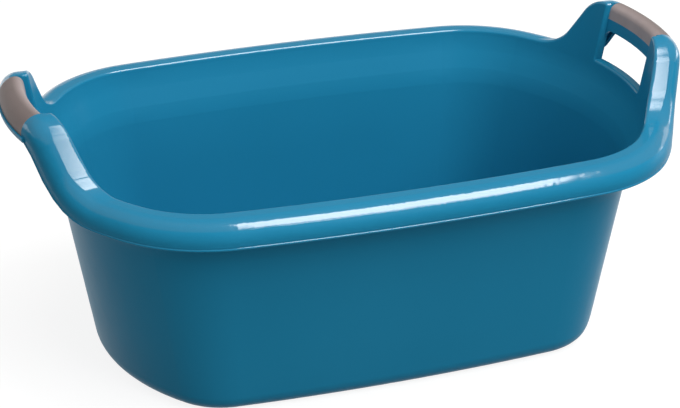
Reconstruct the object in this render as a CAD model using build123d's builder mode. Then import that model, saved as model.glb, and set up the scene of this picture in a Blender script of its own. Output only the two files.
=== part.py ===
# Washing up bowl: a one-piece moulded tub whose rolled rim climbs at both ends into a raised
# handle with a hand hole, and a soft grip moulded round each handle bar.
# Millimetres, +Z up. The origin is the centre of the underside; the long way of the tub is X.
import os
from math import atan2, cos, degrees, radians, sin, tan

from build123d import *

# Tub wall: its outer face at the floor and, carried on straight, at the height of the rim
rim_height = 205.5
floor_half_length = 232.5
floor_half_width = 146.0
floor_corner_radius = 60.0
rim_half_length = 269.0
rim_half_width = 168.0
rim_corner_radius = 91.0
end_span = 39.0  # degrees from the middle of an end arc to its corner arc
side_span = 4.6  # degrees from the middle of a side arc to its corner arc
wall = 2.8
floor_thickness = 3.2
floor_round = 17.0

# Flare: between these two heights the wall leans out further, to meet the rim
flare_bottom = 162.0
flare_top = 193.0
flare = 7.0
flare_round = 70.0

# Rolled rim
rim_reach = 33.0  # from the straight wall's outer face to the outside of the rim
rim_depth = 22.0  # from the top of the rim to its lower lip
rim_outer_round = 16.5
rim_inner_round = 2.5

# Rise of the rim to the handle, seen from the end
handle_rise = 55.5
foot_corner = 95.0  # half width between the corners where the rim starts to climb
top_corner = 65.5  # half width between the corners at the top
foot_curve = 33.0
top_curve = 27.5

# Handle bar, set back behind the rim's inner face, and the hand hole below it
bar_half_width = 45.0
bar_set_back = 5.3
edge_share = 0.75  # of the set-back, up to which an edge belongs to the recess's mouth
hole_bottom = 206.0
hole_top = 235.5
hole_top_round = 8.0
hole_bottom_round = 3.0
bead_height = 4.0
bead_reach = 2.0
bead_half_width = 50.0

# Soft grip
grip_thickness = 2.5
grip_inner_round = 8.0
grip_inner_drop = 15.0  # how far the grip comes down the bar's inner face

# Overrun of every cutting block past the face that it cuts
overrun = 2.0

bar_top = rim_height + handle_rise
block_top = bar_top + overrun
lip_level = bar_top - rim_depth
far = rim_half_length + rim_reach + rim_height
rise_angle = atan2(handle_rise, foot_corner - top_corner)
foot_start = foot_corner + foot_curve * tan(rise_angle / 2)
top_start = top_corner - top_curve * tan(rise_angle / 2)

# Inner faces, counted outwards from the outer face of the flared wall
bar_face = bar_set_back - wall
core_face = bar_face + grip_thickness
core_back = core_face + wall
frame_half_width = bar_half_width + wall

os.makedirs("parts", exist_ok=True)


def outline_sizes(level, grow):
    """Half length, half width and corner radius of the wall's outer face at a height, grown outwards."""
    share = level / rim_height
    half_length = floor_half_length + (rim_half_length - floor_half_length) * share + grow
    half_width = floor_half_width + (rim_half_width - floor_half_width) * share + grow
    corner = floor_corner_radius + (rim_corner_radius - floor_corner_radius) * share + grow
    return half_length, half_width, corner


def arc_radii(half_length, half_width, corner):
    """Radii of the end arc and side arc that meet the corner arc in line at the set spans."""
    end, side = radians(end_span), radians(side_span)
    length_left = half_length - corner * (cos(end) - sin(side))
    width_left = half_width - corner * (cos(side) - sin(end))
    scale = (1 - cos(end)) * (1 - cos(side)) - sin(end) * sin(side)
    end_radius = (length_left * (1 - cos(side)) - width_left * sin(side)) / scale
    side_radius = (width_left * (1 - cos(end)) - length_left * sin(end)) / scale
    return end_radius, side_radius


def outline_face(level, grow):
    """Closed face of eight arcs; every height has the same tangents, so the wall is smooth."""
    half_length, half_width, corner = outline_sizes(level, grow)
    end_radius, side_radius = arc_radii(half_length, half_width, corner)
    end_centre = half_length - end_radius
    side_centre = half_width - side_radius
    corner_x = end_centre + (end_radius - corner) * cos(radians(end_span))
    corner_y = (end_radius - corner) * sin(radians(end_span))
    corner_span = 90 - end_span - side_span
    with BuildSketch(Plane.XY.offset(level)) as outline:
        with BuildLine():
            CenterArc((end_centre, 0), end_radius, -end_span, 2 * end_span)
            CenterArc((corner_x, corner_y), corner, end_span, corner_span)
            CenterArc((0, side_centre), side_radius, 90 - side_span, 2 * side_span)
            CenterArc((-corner_x, corner_y), corner, 90 + side_span, corner_span)
            CenterArc((-end_centre, 0), end_radius, 180 - end_span, 2 * end_span)
            CenterArc((-corner_x, -corner_y), corner, 180 + end_span, corner_span)
            CenterArc((0, -side_centre), side_radius, 270 - side_span, 2 * side_span)
            CenterArc((corner_x, -corner_y), corner, 270 + side_span, corner_span)
        make_face()
    return outline.sketch


def straight_block(grow):
    """Solid tub shape over the whole height, its straight wall grown outwards."""
    with BuildPart() as block:
        loft([outline_face(0, grow), outline_face(block_top, grow)], ruled=True)
    return block.part


def flared_block(grow):
    """The same with the flare, for the faces towards the inside and the back of the wall."""
    with BuildPart() as block:
        loft(
            [
                outline_face(0, grow),
                outline_face(flare_bottom, grow),
                outline_face(flare_top, grow + flare),
                outline_face(block_top, grow + flare),
            ],
            ruled=True,
        )
        for level in (flare_bottom, flare_top):
            fillet(block.edges().filter_by_position(Axis.Z, level, level), flare_round)
    return block.part


def under_rim_face(drop):
    """Region below the top line of the rim, seen from the end; drop moves the line square to itself."""
    foot_radius = foot_curve + drop
    top_radius = top_curve - drop
    foot_centre = (foot_start, rim_height + foot_curve)
    top_centre = (top_start, bar_top - top_curve)
    foot_end = (
        foot_centre[0] - foot_radius * sin(rise_angle),
        foot_centre[1] - foot_radius * cos(rise_angle),
    )
    top_end = (
        top_centre[0] + top_radius * sin(rise_angle),
        top_centre[1] + top_radius * cos(rise_angle),
    )
    turn = degrees(rise_angle)
    with BuildSketch(Plane.YZ.offset(-far)) as region:
        with BuildLine():
            Line((far, rim_height - drop), (foot_start, rim_height - drop))
            CenterArc(foot_centre, foot_radius, -90 - turn, turn)
            Line(foot_end, top_end)
            CenterArc(top_centre, top_radius, 90 - turn, turn)
            Line((top_start, bar_top - drop), (-top_start, bar_top - drop))
            CenterArc((-top_centre[0], top_centre[1]), top_radius, 90, turn)
            Line((-top_end[0], top_end[1]), (-foot_end[0], foot_end[1]))
            CenterArc((-foot_centre[0], foot_centre[1]), foot_radius, -90, turn)
            Line((-foot_start, rim_height - drop), (-far, rim_height - drop))
            Polyline((-far, rim_height - drop), (-far, -far), (far, -far), (far, rim_height - drop))
        make_face()
    return region.sketch


def top_edges(block):
    """Edges of the faces on the rim's top line, without the straight ones that cross the rim."""
    tops = block.faces().filter_by(
        lambda face: face.geom_type in (GeomType.PLANE, GeomType.CYLINDER)
        and face.normal_at().Z > cos(rise_angle) / 2
    )
    return tops.edges().filter_by(GeomType.LINE, reverse=True)


def rim_disc(inset, depth):
    """Outside of the rim as a solid disc with its outer round, all its faces inset."""
    with BuildPart() as disc:
        add(straight_block(rim_reach - inset))
        extrude(under_rim_face(inset), amount=2 * far, mode=Mode.INTERSECT)
        extrude(under_rim_face(depth), amount=2 * far, mode=Mode.SUBTRACT)
        fillet(top_edges(disc), rim_outer_round - inset)
    return disc.part


def rim_band(inset, depth, face, inner_round):
    """The same from an inner face outwards, with a round along its inner top edge too."""
    with BuildPart() as band:
        add(rim_disc(inset, depth))
        add(flared_block(face), mode=Mode.SUBTRACT)
        cut_edges = band.edges(Select.LAST)
        fillet(top_edges(band).filter_by(lambda edge: edge in cut_edges), inner_round)
    return band.part


def middle_block(half_width, bottom, top):
    """Block across the whole length of the tub, for what belongs to the handles alone."""
    with BuildPart() as block:
        with BuildSketch(Plane.XY.offset(bottom)):
            Rectangle(2 * far, 2 * half_width)
        extrude(amount=top - bottom)
    return block.part


bar_zone = middle_block(bar_half_width, 0, block_top)
frame_zone = middle_block(frame_half_width, 0, block_top)

# Handle bars under their grips
bar_core = rim_band(grip_thickness, rim_depth, core_face, grip_inner_round - grip_thickness)

# Inside of the tub
with BuildPart() as cavity:
    add(flared_block(-wall))
    add(middle_block(far, 0, floor_thickness), mode=Mode.SUBTRACT)
    fillet(cavity.edges().group_by(Axis.Z)[0], floor_round - wall)

# Space under the rim between its skirt and the wall, all round up to the handle frames
with BuildPart() as rim_hollow:
    add(rim_disc(wall, rim_depth + overrun))
    add(flared_block(0), mode=Mode.SUBTRACT)
    add(frame_zone, mode=Mode.SUBTRACT)

# The same behind the side walls of the handle frames, which stand as far out as the bar
with BuildPart() as frame_hollow:
    add(rim_disc(wall, rim_depth + overrun))
    add(flared_block(bar_set_back), mode=Mode.SUBTRACT)
    add(frame_zone, mode=Mode.INTERSECT)
    add(bar_zone, mode=Mode.SUBTRACT)

# The same under the bars
with BuildPart() as bar_hollow:
    add(rim_disc(grip_thickness + wall, rim_depth + overrun))
    add(flared_block(core_back), mode=Mode.SUBTRACT)
    add(bar_zone, mode=Mode.INTERSECT)

# Recess in front of the bars and hand holes, down to the ledge
with BuildPart() as recess:
    add(flared_block(bar_face))
    add(middle_block(bar_half_width, hole_bottom, block_top), mode=Mode.INTERSECT)

# Hand holes through both ends, their upper corners rounder than the lower ones
with BuildPart() as hand_hole:
    with BuildSketch(Plane.YZ.offset(-far)) as hole_outline:
        with Locations((0, (hole_bottom + hole_top) / 2)):
            Rectangle(2 * bar_half_width, hole_top - hole_bottom)
        corners = hole_outline.vertices().group_by(Axis.Y)
        fillet(corners[-1], hole_top_round)
        fillet(corners[0], hole_bottom_round)
    extrude(amount=2 * far)

# Beads along the lower outer lips of the bars
with BuildPart() as beads:
    add(straight_block(rim_reach + bead_reach))
    add(straight_block(rim_reach - grip_thickness - wall), mode=Mode.SUBTRACT)
    add(middle_block(bead_half_width, lip_level, lip_level + bead_height), mode=Mode.INTERSECT)

# What the grips may fill: round the bars, above the beads, and on the inner side the upper part
with BuildPart() as grip_space:
    add(middle_block(bar_half_width, lip_level + bead_height, block_top))
    add(bar_core, mode=Mode.SUBTRACT)
    add(
        straight_block(rim_reach / 2) & middle_block(bar_half_width, 0, bar_top - grip_inner_drop),
        mode=Mode.SUBTRACT,
    )

# Basin: floor, wall, handle frames and rolled rim in one
with BuildPart() as basin:
    add(flared_block(0))
    fillet(basin.edges().group_by(Axis.Z)[0], floor_round)
    extrude(under_rim_face(rim_depth - overrun), amount=2 * far, mode=Mode.INTERSECT)
    add(
        flared_block(bar_set_back)
        & middle_block(frame_half_width, hole_bottom - wall, lip_level + overrun)
    )
    add(rim_disc(0, rim_depth))
    add(rim_hollow.part, mode=Mode.SUBTRACT)
    add(frame_hollow.part, mode=Mode.SUBTRACT)
    add(bar_hollow.part, mode=Mode.SUBTRACT)
    add(cavity.part, mode=Mode.SUBTRACT)
    add(recess.part, mode=Mode.SUBTRACT)
    recess_edges = basin.edges(Select.LAST)
    mouth = flared_block(bar_set_back * edge_share - wall).solid()
    rim_edges = top_edges(basin).filter_by(lambda edge: mouth.is_inside(edge @ 0.5))
    mouth_edges = recess_edges.filter_by(
        lambda edge: mouth.is_inside(edge @ 0.5) and edge not in rim_edges
    )
    fillet(rim_edges + mouth_edges, rim_inner_round)
    add(grip_space.part, mode=Mode.SUBTRACT)
    add(hand_hole.part, mode=Mode.SUBTRACT)
    add(beads.part)
basin.part.label = "basin"
export_step(basin.part, "parts/basin.step")

# Soft grip on the right bar: a shell over the bar between the ends of the rim
with BuildPart() as grip_right:
    add(rim_band(0, rim_depth, bar_face, grip_inner_round))
    add(grip_space.part, mode=Mode.INTERSECT)
    split(bisect_by=Plane.YZ)
grip_right.part.label = "grip_right"
export_step(grip_right.part, "parts/grip_right.step")

# Soft grip on the left bar
with BuildPart() as grip_left:
    mirror(grip_right.part, about=Plane.YZ)
grip_left.part.label = "grip_left"
export_step(grip_left.part, "parts/grip_left.step")
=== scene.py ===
from math import atan2, cos, pi, radians, sin, sqrt, tan

import bmesh
import bpy
from mathutils import Matrix, Vector


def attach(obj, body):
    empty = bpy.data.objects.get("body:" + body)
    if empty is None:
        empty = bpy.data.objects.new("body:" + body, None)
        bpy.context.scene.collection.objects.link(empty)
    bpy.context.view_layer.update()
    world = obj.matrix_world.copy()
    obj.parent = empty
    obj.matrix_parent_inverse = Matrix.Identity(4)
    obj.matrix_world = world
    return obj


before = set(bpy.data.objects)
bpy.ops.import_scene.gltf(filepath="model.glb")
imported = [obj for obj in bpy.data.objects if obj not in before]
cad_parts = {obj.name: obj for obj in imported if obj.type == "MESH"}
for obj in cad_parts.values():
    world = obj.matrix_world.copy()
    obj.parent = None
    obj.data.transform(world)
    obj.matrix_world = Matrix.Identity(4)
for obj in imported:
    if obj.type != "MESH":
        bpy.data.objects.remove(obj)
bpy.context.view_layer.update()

# Tub
# The basin with its floor, wall, handle frames and hollow rolled rim is one injection moulding in
# polypropylene, coloured right through. The mould is polished where the rim faces up, and fine
# satin on the walls. It carries the grips. The CAD solid has the right shape and stays.
tub_blue = (0.014, 0.216, 0.380, 1)
tub_blue_deep = (0.012, 0.202, 0.358, 1)
cloud_scale = 5.0
usual_noise = (0.3, 0.7)
middle_of_noise = 0.5
scratch_turn = (0.3, 0.9, 0.5)
scratch_stretch = (1, 14, 14)
scratch_gap_scale = 40.0
scratch_gap_edge = (0.56, 0.62)
scratch_polish_loss = 0.3
scratch_roughness = 0.1
satin_roughness = (0.30, 0.36)
satin_specular = 0.05
coat_ior = 1.9
coat_roughness = 0.09
mould_grain_scale = 420.0
mould_grain_height = 0.0002
mould_grain_strength = 0.12

# Polish starts and is full at these upward normals, the first on the rim and the second on the
# legs, which start at the height of their foot. It is weaker again where the surface is level.
leg_foot = (0.200, 0.212)
polish_starts = (0.60, 0.35)
polish_full = (0.67, 0.47)
level_normal = (0.90, 0.98)
level_polish = (1.0, 0.4)


def node_link(tree, value, socket):
    """Links a socket to an input, or sets the input to a plain value."""
    if isinstance(value, bpy.types.NodeSocket):
        tree.links.new(value, socket)
    else:
        socket.default_value = value


def math_node(tree, operation, *values):
    """Math node over sockets or plain numbers."""
    node = tree.nodes.new("ShaderNodeMath")
    node.operation = operation
    for slot, value in enumerate(values):
        node_link(tree, value, node.inputs[slot])
    return node.outputs[0]


def noise_node(tree, place, scale, detail):
    """Soft noise from 0 to 1 over a place."""
    node = tree.nodes.new("ShaderNodeTexNoise")
    node_link(tree, place, node.inputs["Vector"])
    node_link(tree, scale, node.inputs["Scale"])
    node_link(tree, detail, node.inputs["Detail"])
    return node.outputs["Fac"]


def ranged(tree, value, old_range, new_range=(0.0, 1.0)):
    """Carries a value from one range to another and holds it at the ends."""
    node = tree.nodes.new("ShaderNodeMapRange")
    names = ("Value", "From Min", "From Max", "To Min", "To Max")
    for name, given in zip(names, (value, *old_range, *new_range)):
        node_link(tree, given, node.inputs[name])
    return node.outputs[0]


def axis_part(tree, vector, axis):
    """The part of a vector along X, Y or Z."""
    node = tree.nodes.new("ShaderNodeSeparateXYZ")
    node_link(tree, vector, node.inputs[0])
    return node.outputs[axis]


def colour_between(tree, share, first, second):
    """Colour between two colours by a share from 0 to 1."""
    node = tree.nodes.new("ShaderNodeMix")
    node.data_type = "RGBA"
    taken = {socket.identifier: socket for socket in node.inputs}
    given = {socket.identifier: socket for socket in node.outputs}
    node_link(tree, share, taken["Factor_Float"])
    node_link(tree, first, taken["A_Color"])
    node_link(tree, second, taken["B_Color"])
    return given["Result_Color"]


def use_marks_group():
    """Shader group of what use leaves on plastic: fine short scratches and softly worn patches, which
    on the grips also place painted light.
    """
    group = bpy.data.node_groups.new("use_marks", "ShaderNodeTree")
    group.interface.new_socket("Place", in_out="INPUT", socket_type="NodeSocketVector")
    for name, value in (("Scratch Scale", 9.0), ("Scratch Width", 0.006), ("Patch Scale", 11.0)):
        socket = group.interface.new_socket(name, in_out="INPUT", socket_type="NodeSocketFloat")
        socket.default_value = value
    for name in ("Scratches", "Patches"):
        group.interface.new_socket(name, in_out="OUTPUT", socket_type="NodeSocketFloat")
    given = group.nodes.new("NodeGroupInput").outputs
    result = group.nodes.new("NodeGroupOutput").inputs
    drawn_out = group.nodes.new("ShaderNodeMapping")
    drawn_out.inputs["Rotation"].default_value = scratch_turn
    drawn_out.inputs["Scale"].default_value = scratch_stretch
    node_link(group, given["Place"], drawn_out.inputs["Vector"])
    lines = noise_node(group, drawn_out.outputs[0], given["Scratch Scale"], detail=2.0)
    off_middle = math_node(group, "ABSOLUTE", math_node(group, "SUBTRACT", lines, middle_of_noise))
    thin = math_node(group, "LESS_THAN", off_middle, given["Scratch Width"])
    gaps = noise_node(group, given["Place"], scratch_gap_scale, detail=1.0)
    broken = ranged(group, gaps, scratch_gap_edge)
    node_link(group, math_node(group, "MULTIPLY", thin, broken), result["Scratches"])
    patches = noise_node(group, given["Place"], given["Patch Scale"], detail=3.0)
    node_link(group, patches, result["Patches"])
    return group


def new_material(name):
    """Material with its node tree, its shader and its object coordinates."""
    material = bpy.data.materials.new(name)
    material.use_nodes = True
    tree = material.node_tree
    coordinates = tree.nodes.new("ShaderNodeTexCoord")
    return material, tree, tree.nodes["Principled BSDF"].inputs, coordinates.outputs


def marks_in(tree, place, **values):
    """Places the group of use marks in a material, with the material's own values."""
    node = tree.nodes.new("ShaderNodeGroup")
    node.node_tree = use_marks
    node_link(tree, place, node.inputs["Place"])
    for name, value in values.items():
        node.inputs[name.replace("_", " ").title()].default_value = value
    return node.outputs["Scratches"], node.outputs["Patches"]


def bumped(tree, height, distance, strength):
    """Normal of a surface with a fine relief, from its height, its depth in metres and a strength."""
    node = tree.nodes.new("ShaderNodeBump")
    node.inputs["Distance"].default_value = distance
    node.inputs["Strength"].default_value = strength
    node_link(tree, height, node.inputs["Height"])
    return node.outputs[0]


use_marks = use_marks_group()
tub_plastic, tree, shader, coordinates = new_material("tub_polypropylene")
scratches, patches = marks_in(tree, coordinates["Object"], scratch_scale=9.0, patch_scale=11.0)
clouds = ranged(tree, noise_node(tree, coordinates["Object"], cloud_scale, detail=2.0), usual_noise)
node_link(tree, colour_between(tree, clouds, tub_blue, tub_blue_deep), shader["Base Color"])
upward = axis_part(tree, coordinates["Normal"], "Z")
above_floor = axis_part(tree, coordinates["Object"], "Z")
normal_least = ranged(tree, above_floor, leg_foot, polish_starts)
normal_most = ranged(tree, above_floor, leg_foot, polish_full)
rounded = ranged(tree, upward, (normal_least, normal_most))
polished = math_node(tree, "MULTIPLY", rounded, ranged(tree, upward, level_normal, level_polish))
lost_polish = math_node(tree, "MULTIPLY", scratches, scratch_polish_loss)
worn_polish = math_node(tree, "SUBTRACT", polished, lost_polish)
node_link(tree, math_node(tree, "MAXIMUM", worn_polish, 0.0), shader["Coat Weight"])
satin = ranged(tree, patches, usual_noise, satin_roughness)
rough = math_node(tree, "MULTIPLY_ADD", scratches, scratch_roughness, satin)
node_link(tree, rough, shader["Roughness"])
shader["Specular IOR Level"].default_value = satin_specular
shader["Coat IOR"].default_value = coat_ior
shader["Coat Roughness"].default_value = coat_roughness
grain = noise_node(tree, coordinates["Object"], mould_grain_scale, detail=2.0)
node_link(tree, bumped(tree, grain, mould_grain_height, mould_grain_strength), shader["Normal"])
for material_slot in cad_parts["basin"].material_slots:
    material_slot.material = tub_plastic

# Rim lip
# Small round bead that closes the lower edge of the rim, all round and up along both handles, so
# that the edge doesn't cut the hand. It is moulded on with the tub, in the same plastic.
mm = 0.001
rim_height = 205.5
floor_outline = (232.5, 146.0, 60.0)
rim_outline = (269.0, 168.0, 91.0)
end_span = radians(39.0)
side_span = radians(4.6)
rim_reach = 33.0
rim_depth = 22.0
handle_top = 261.0
foot_half_width = 95.0
top_half_width = 65.5
foot_curve = 33.0
top_curve = 27.5
bead_radius = 1.2
bead_set_in = 0.5
bead_set_up = 0.7
bead_sides = 12
outline_arcs = 8
steps_per_arc = 28
height_rounds = 6


def lip_height(y):
    """Height of the rim's lower edge at a place across the tub: low at the sides, high at the bars."""
    slope = atan2(handle_top - rim_height, foot_half_width - top_half_width)
    foot_y = foot_half_width + foot_curve * tan(slope / 2)
    top_y = top_half_width - top_curve * tan(slope / 2)
    foot_radius = foot_curve + rim_depth
    top_radius = top_curve - rim_depth
    across = abs(y)
    if across >= foot_y:
        return rim_height - rim_depth
    if across <= top_y:
        return handle_top - rim_depth
    if across > foot_y - foot_radius * sin(slope):
        return rim_height + foot_curve - sqrt(foot_radius ** 2 - (foot_y - across) ** 2)
    if across < top_y + top_radius * sin(slope):
        return handle_top - top_curve + sqrt(top_radius ** 2 - (across - top_y) ** 2)
    foot_end_y = foot_y - foot_radius * sin(slope)
    foot_end_z = rim_height + foot_curve - foot_radius * cos(slope)
    return foot_end_z + (foot_end_y - across) * tan(slope)


def outline_point(height, grow, arc, share):
    """Point of the tub's outline at a height, on one of the eight arcs, from 0 to 1 along it."""
    level = height / rim_height
    sizes = [low + (high - low) * level + grow for low, high in zip(floor_outline, rim_outline)]
    half_length, half_width, corner = sizes
    length_left = half_length - corner * (cos(end_span) - sin(side_span))
    width_left = half_width - corner * (cos(side_span) - sin(end_span))
    end_drop = 1 - cos(end_span)
    side_drop = 1 - cos(side_span)
    shared = end_drop * side_drop - sin(end_span) * sin(side_span)
    end_radius = (length_left * side_drop - width_left * sin(side_span)) / shared
    side_radius = (width_left * end_drop - length_left * sin(end_span)) / shared
    corner_x = half_length - end_radius + (end_radius - corner) * cos(end_span)
    corner_y = (end_radius - corner) * sin(end_span)
    quarter = pi / 2
    corner_turn = quarter - end_span - side_span
    arcs = (
        ((half_length - end_radius, 0), end_radius, -end_span, 2 * end_span),
        ((corner_x, corner_y), corner, end_span, corner_turn),
        ((0, half_width - side_radius), side_radius, quarter - side_span, 2 * side_span),
        ((-corner_x, corner_y), corner, quarter + side_span, corner_turn),
        ((end_radius - half_length, 0), end_radius, pi - end_span, 2 * end_span),
        ((-corner_x, -corner_y), corner, pi + end_span, corner_turn),
        ((0, side_radius - half_width), side_radius, 3 * quarter - side_span, 2 * side_span),
        ((corner_x, -corner_y), corner, 3 * quarter + side_span, corner_turn),
    )
    centre, radius, start, turn = arcs[arc]
    angle = start + turn * share
    return centre[0] + radius * cos(angle), centre[1] + radius * sin(angle)


def lip_point(arc, share):
    """Point on the middle of the bead; its height and its place across depend on each other."""
    height = rim_height
    for _ in range(height_rounds):
        x, y = outline_point(height, rim_reach - bead_set_in, arc, share)
        height = lip_height(y) + bead_set_up
    return x * mm, y * mm, height * mm


def path_object(name, points):
    """Closed line of edges through points, as an object that a node tree turns into a piece."""
    mesh = bpy.data.meshes.new(name)
    count = len(points)
    mesh.from_pydata(points, [(k, (k + 1) % count) for k in range(count)], [])
    line = bpy.data.objects.new(name, mesh)
    bpy.context.scene.collection.objects.link(line)
    return line


def bead_tree():
    """Geometry node tree that turns a line of edges into a round bead."""
    group = bpy.data.node_groups.new("bead_along_line", "GeometryNodeTree")
    group.interface.new_socket("Geometry", in_out="INPUT", socket_type="NodeSocketGeometry")
    group.interface.new_socket("Radius", in_out="INPUT", socket_type="NodeSocketFloat")
    group.interface.new_socket("Sides", in_out="INPUT", socket_type="NodeSocketInt")
    group.interface.new_socket("Material", in_out="INPUT", socket_type="NodeSocketMaterial")
    group.interface.new_socket("Geometry", in_out="OUTPUT", socket_type="NodeSocketGeometry")
    given = group.nodes.new("NodeGroupInput").outputs
    line = group.nodes.new("GeometryNodeMeshToCurve")
    circle = group.nodes.new("GeometryNodeCurvePrimitiveCircle")
    sweep = group.nodes.new("GeometryNodeCurveToMesh")
    smooth = group.nodes.new("GeometryNodeSetShadeSmooth")
    real = group.nodes.new("GeometryNodeRealizeInstances")
    painted = group.nodes.new("GeometryNodeSetMaterial")
    result = group.nodes.new("NodeGroupOutput").inputs
    links = (
        (given["Geometry"], line.inputs["Mesh"]),
        (given["Radius"], circle.inputs["Radius"]),
        (given["Sides"], circle.inputs["Resolution"]),
        (line.outputs["Curve"], sweep.inputs["Curve"]),
        (circle.outputs["Curve"], sweep.inputs["Profile Curve"]),
        (sweep.outputs["Mesh"], smooth.inputs["Geometry"]),
        (smooth.outputs["Geometry"], real.inputs["Geometry"]),
        (real.outputs["Geometry"], painted.inputs["Geometry"]),
        (given["Material"], painted.inputs["Material"]),
        (painted.outputs["Geometry"], result["Geometry"]),
    )
    for start, end in links:
        group.links.new(start, end)
    return group


def grown(piece, group, **values):
    """Runs a geometry node tree on a piece with named inputs, and keeps the result as its mesh."""
    modifier = piece.modifiers.new(group.name, "NODES")
    modifier.node_group = group
    taken = [item for item in group.interface.items_tree if item.in_out == "INPUT"]
    sockets = {item.name: item.identifier for item in taken}
    for name, value in values.items():
        modifier[sockets[name.replace("_", " ").title()]] = value
    bpy.context.view_layer.update()
    seen = piece.evaluated_get(bpy.context.evaluated_depsgraph_get())
    mesh = bpy.data.meshes.new_from_object(seen)
    piece.modifiers.remove(modifier)
    piece.data = mesh


arc_shares = [k / steps_per_arc for k in range(steps_per_arc)]
lip_line = [lip_point(arc, share) for arc in range(outline_arcs) for share in arc_shares]
rim_lip = path_object("rim_lip", lip_line)
grown(rim_lip, bead_tree(), radius=bead_radius * mm, sides=bead_sides, material=tub_plastic)
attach(rim_lip, "root")

# Soft grips
# Each is a shell of matt grey-brown thermoplastic rubber, moulded over the bar between the two
# ends of the rim, flush with them on top and outside. Its mould is spark eroded, so the surface
# has a fine dull grain. Its inner side is painted paler in patches, as painted light. The CAD
# solids have the right shape.
grip_brown = (0.190, 0.153, 0.147, 1)
# Paler colour painted on the inner side of each grip as painted light, not a colour of the rubber.
grip_painted_light = (0.400, 0.330, 0.325, 1)
inner_normal = (0.3, -0.7)
painted_light_patches = (0.35, 0.65)
painted_light_share = (0.75, 1.0)
dull_roughness = (0.50, 0.60)
scratch_smoothing = -0.08
spark_grain_scale = 900.0
spark_grain_height = 0.0003
spark_grain_strength = 0.35

grip_rubber, tree, shader, coordinates = new_material("grip_rubber")
scratches, patches = marks_in(tree, coordinates["Object"], scratch_scale=16.0, patch_scale=38.0)
to_the_right = axis_part(tree, coordinates["Normal"], "X")
end_of_tub = math_node(tree, "SIGN", axis_part(tree, coordinates["Object"], "X"))
# Painted light: the side of each grip that faces the middle of the tub is coloured paler, in patches.
inner_side = ranged(tree, math_node(tree, "MULTIPLY", to_the_right, end_of_tub), inner_normal)
painted_light_inner = math_node(tree, "MULTIPLY", inner_side, ranged(tree, patches, painted_light_patches, painted_light_share))
node_link(tree, colour_between(tree, painted_light_inner, grip_brown, grip_painted_light), shader["Base Color"])
dull = ranged(tree, patches, usual_noise, dull_roughness)
rough = math_node(tree, "MULTIPLY_ADD", scratches, scratch_smoothing, dull)
node_link(tree, rough, shader["Roughness"])
grain = noise_node(tree, coordinates["Object"], spark_grain_scale, detail=3.0)
node_link(tree, bumped(tree, grain, spark_grain_height, spark_grain_strength), shader["Normal"])
for name in ("grip_left", "grip_right"):
    for material_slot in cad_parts[name].material_slots:
        material_slot.material = grip_rubber

# Floor and backdrop
# Matt white photographer's sweep: a level floor that curves up into a low wall far behind. It isn't
# part of the object. It shows white to the camera, to gloss and to glass, and keeps a soft shadow.
floor_reach = 5.4
sweep_curve = 0.6
wall_height = 1.6
sweep_turns = 96
curve_steps = 12
sweep_grey = (0.22, 0.22, 0.22, 1)
white = (1, 1, 1, 1)
shown_white = 0.86

profile = [(floor_reach, 0.0)]
for k in range(1, curve_steps + 1):
    angle = pi / 2 * k / curve_steps
    profile.append((floor_reach + sweep_curve * sin(angle), sweep_curve * (1 - cos(angle))))
profile.append((floor_reach + sweep_curve, wall_height))

sweep_mesh = bpy.data.meshes.new("sweep")
bm = bmesh.new()
rings = []
angles = [2 * pi * k / sweep_turns for k in range(sweep_turns)]
for radius, height in profile:
    places = [(radius * cos(angle), radius * sin(angle), height) for angle in angles]
    rings.append([bm.verts.new(place) for place in places])
bm.faces.new(rings[0])
for inner, outer in zip(rings, rings[1:]):
    for k in range(sweep_turns):
        following = (k + 1) % sweep_turns
        bm.faces.new((inner[k], outer[k], outer[following], inner[following])).smooth = True
bm.to_mesh(sweep_mesh)
bm.free()
sweep = bpy.data.objects.new("sweep", sweep_mesh)
bpy.context.scene.collection.objects.link(sweep)

sweep_white, tree, shader, coordinates = new_material("sweep_white")
shader["Base Color"].default_value = sweep_grey
shader["Roughness"].default_value = 1.0
shader["Specular IOR Level"].default_value = 0.0
shader["Emission Color"].default_value = white
path = tree.nodes.new("ShaderNodeLightPath").outputs
shown = math_node(tree, "MAXIMUM", path["Is Camera Ray"], path["Is Glossy Ray"])
shown = math_node(tree, "MAXIMUM", shown, path["Is Transmission Ray"])
node_link(tree, math_node(tree, "MULTIPLY", shown, shown_white), shader["Emission Strength"])
sweep_mesh.materials.append(sweep_white)

# Studio light
# A key light in two panels over the right side makes the strip along the rim and the patches on the
# handle legs. Weaker panels that gloss doesn't show fill in from above, the left, the front and both
# sides, one more draws the bright edge at the right, and the room adds an even, slightly warm glow.
lamp_distance = 4.0
aim_height = 0.2
sideways_limit = 0.8
key_right = 1.29
key_width = 1.64
key_level = 6.5
room_colour = (1, 0.98, 0.92, 1)
room_level = 0.24


def softbox(name, place, size, level, in_gloss):
    """Rectangular lamp at a place, facing the tub, that shows or doesn't show in glossy surfaces."""
    lamp = bpy.data.lights.new(name, "AREA")
    lamp.shape = "RECTANGLE"
    lamp.size, lamp.size_y = size
    lamp.energy = level * pi * size[0] * size[1]
    towards = (Vector(place) - Vector((0, 0, aim_height))).normalized()
    level_axis = Vector((1, 0, 0)) if abs(towards.x) < sideways_limit else Vector((0, 1, 0))
    width_axis = (level_axis - level_axis.dot(towards) * towards).normalized()
    turned = Matrix((width_axis, towards.cross(width_axis), towards)).transposed().to_4x4()
    lamp_object = bpy.data.objects.new(name, lamp)
    lamp_object.matrix_world = Matrix.Translation(place) @ turned
    lamp_object.visible_camera = False
    lamp_object.visible_glossy = in_gloss
    bpy.context.scene.collection.objects.link(lamp_object)


def over(right, angle):
    """Place on the arc from the front up over the tub, a distance to the right of its middle."""
    far = sqrt(lamp_distance ** 2 - right ** 2)
    return right, -far * cos(radians(angle)), aim_height + far * sin(radians(angle))


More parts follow.
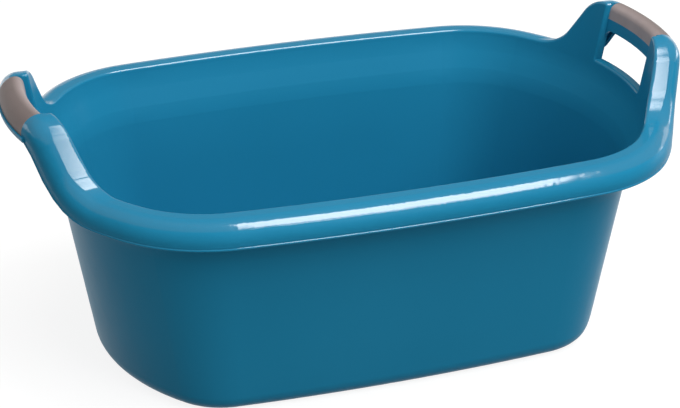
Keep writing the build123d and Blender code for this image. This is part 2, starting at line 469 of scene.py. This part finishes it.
def around(angle, rise):
    """Place round the tub, at an angle from the front to the right and an angle above the level."""
    out = lamp_distance * cos(radians(rise))
    up = aim_height + lamp_distance * sin(radians(rise))
    return out * sin(radians(angle)), -out * cos(radians(angle)), up


softbox("key_legs", over(key_right, 38.5), size=(key_width, 1.85), level=key_level, in_gloss=True)
softbox("key_rim", over(key_right, 71.5), size=(key_width, 2.44), level=key_level, in_gloss=True)
softbox("overhead", over(0, 85), size=(2.4, 2.4), level=2.5, in_gloss=False)
softbox("fill_left", around(-50, 25), size=(2.0, 2.0), level=1.1, in_gloss=False)
softbox("fill_front", around(8, 9), size=(2.6, 1.0), level=1.9, in_gloss=False)
softbox("side_left", around(-112, 8), size=(1.6, 1.2), level=2.2, in_gloss=False)
softbox("side_right", around(112, 8), size=(1.6, 1.2), level=2.2, in_gloss=False)
softbox("edge_right", around(98, 3), size=(1.6, 0.9), level=3.0, in_gloss=True)

room = bpy.data.worlds.new("room")
room.use_nodes = True
background = room.node_tree.nodes["Background"].inputs
background["Color"].default_value = room_colour
background["Strength"].default_value = room_level
bpy.context.scene.world = room

# Camera
# It looks from the front left and from above with a long lens, as the photograph does. Its place is
# in metres, its angles are in radians, and its focal length is in pixels of the picture.
camera_place = Vector((-0.6109, -1.6524, 0.9414))
azimuth = -0.351
elevation = 0.439
roll = 0.008
focal_pixels = 2120.1
picture_width = 680
sensor_width = 36
farthest_seen = 40

right = Vector((cos(azimuth), sin(azimuth), 0))
back = Vector((sin(azimuth) * cos(elevation), -cos(azimuth) * cos(elevation), sin(elevation)))
up = back.cross(right)
right_rolled = cos(roll) * right + sin(roll) * up
up_rolled = cos(roll) * up - sin(roll) * right
camera_data = bpy.data.cameras.new("camera")
camera_data.sensor_width = sensor_width
camera_data.lens = focal_pixels * sensor_width / picture_width
camera_data.clip_end = farthest_seen
camera = bpy.data.objects.new("camera", camera_data)
turned = Matrix((right_rolled, up_rolled, back)).transposed().to_4x4()
camera.matrix_world = Matrix.Translation(camera_place) @ turned
bpy.context.scene.collection.objects.link(camera)
bpy.context.scene.camera = camera
bpy.context.scene.view_settings.view_transform = "Standard"
